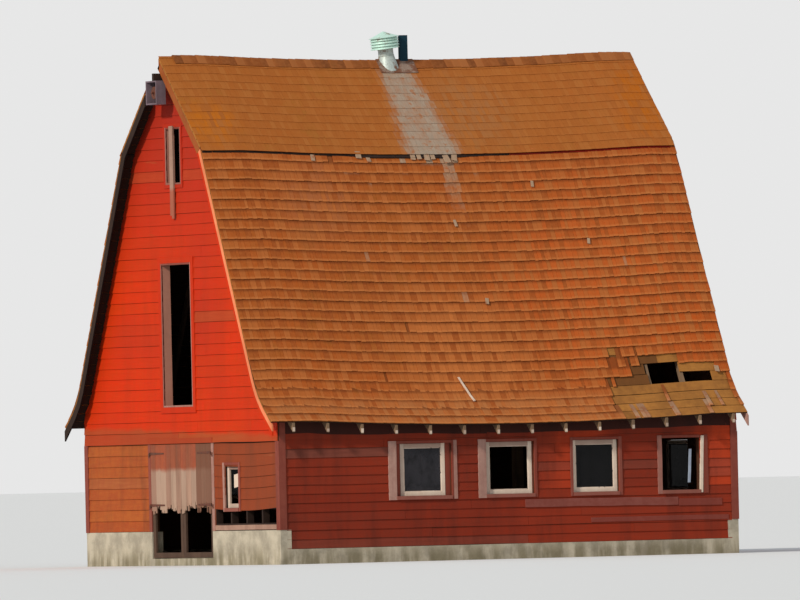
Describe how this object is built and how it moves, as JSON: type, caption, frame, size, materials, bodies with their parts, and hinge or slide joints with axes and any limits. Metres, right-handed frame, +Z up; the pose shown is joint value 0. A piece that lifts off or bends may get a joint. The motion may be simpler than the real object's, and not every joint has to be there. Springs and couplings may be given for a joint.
{
  "type": "small gambrel-roofed barn",
  "caption": "Old timber barn with a flared gambrel roof, loft, side windows, ridge ventilator and a hinged double door.",
  "frame": {"origin": "centre of the building's footprint at ground level", "axes": "+X along the ridge towards the rear gable, -Y towards the long side with the open window, +Z up"},
  "size_m": [9.034, 7.88, 8.9105],
  "materials": {
    "concrete": "weathered cast concrete",
    "red_siding": "drop siding in faded red paint",
    "roof_shingles": "old wooden shingles grown over orange brown",
    "bare_timber": "unpainted weathered softwood",
    "faded_trim": "trim boards with worn pale paint",
    "cream_sash": "old cream paint",
    "old_glass": "thin window glass",
    "door_planks": "bare grey planks",
    "hinge_iron": "rusted forged iron",
    "galvanised_sheet": "dull galvanised sheet"
  },
  "bodies": {
    "building": {"foundation_south": "concrete", "foundation_north": "concrete", "foundation_rear": "concrete", "foundation_front": "concrete", "door_sill": "concrete", "ground_floor": "concrete", "front_wall_left": "red_siding", "front_wall_right": "red_siding", "rear_wall": "red_siding", "front_gable_wall": "red_siding", "rear_gable_wall": "red_siding", "south_wall": "red_siding", "north_wall": "red_siding", "roof_upper_south": "roof_shingles", "roof_upper_north": "roof_shingles", "roof_lower_south": "roof_shingles", "roof_lower_north": "roof_shingles", "ridge_cap": "roof_shingles", "loft_joists": "bare_timber", "loft_floor": "bare_timber", "loft_beams": "bare_timber", "loft_posts": "bare_timber", "rafters_lower_south": "bare_timber", "rafters_lower_north": "bare_timber", "rafters_upper_south": "bare_timber", "rafters_upper_north": "bare_timber", "ridge_board": "bare_timber", "loose_board": "bare_timber", "hay_track": "bare_timber", "hay_carrier": "bare_timber", "corner_boards": "faded_trim", "rake_front_south": "faded_trim", "rake_front_north": "faded_trim", "rake_rear_south": "faded_trim", "rake_rear_north": "faded_trim", "south_window_frames": "faded_trim", "north_window_frames": "faded_trim", "rear_window_frames": "faded_trim", "front_window_frame": "faded_trim", "hay_door_frame": "faded_trim", "upper_opening_frames": "faded_trim", "main_door_casing": "faded_trim", "window_sashes": "cream_sash", "window_glass": "old_glass", "door_pintles": "hinge_iron", "ventilator_base": "galvanised_sheet", "ventilator_stack": "galvanised_sheet", "ventilator_head": "galvanised_sheet"},
    "left_leaf": {"door_left": "door_planks", "door_left_hinges": "hinge_iron"},
    "right_leaf": {"door_right": "door_planks", "door_right_hinges": "hinge_iron"}
  },
  "joints": [
    {"name": "left_leaf_swing", "type": "hinge", "parent": "building", "child": "left_leaf", "pos_m": [-4.306, 1.15, 1.4475], "axis": [0, 0, -1], "range_deg": [0, 110]},
    {"name": "right_leaf_swing", "type": "hinge", "parent": "building", "child": "right_leaf", "pos_m": [-4.306, -1.15, 1.4475], "axis": [0, 0, 1], "range_deg": [0, 110]}
  ]
}
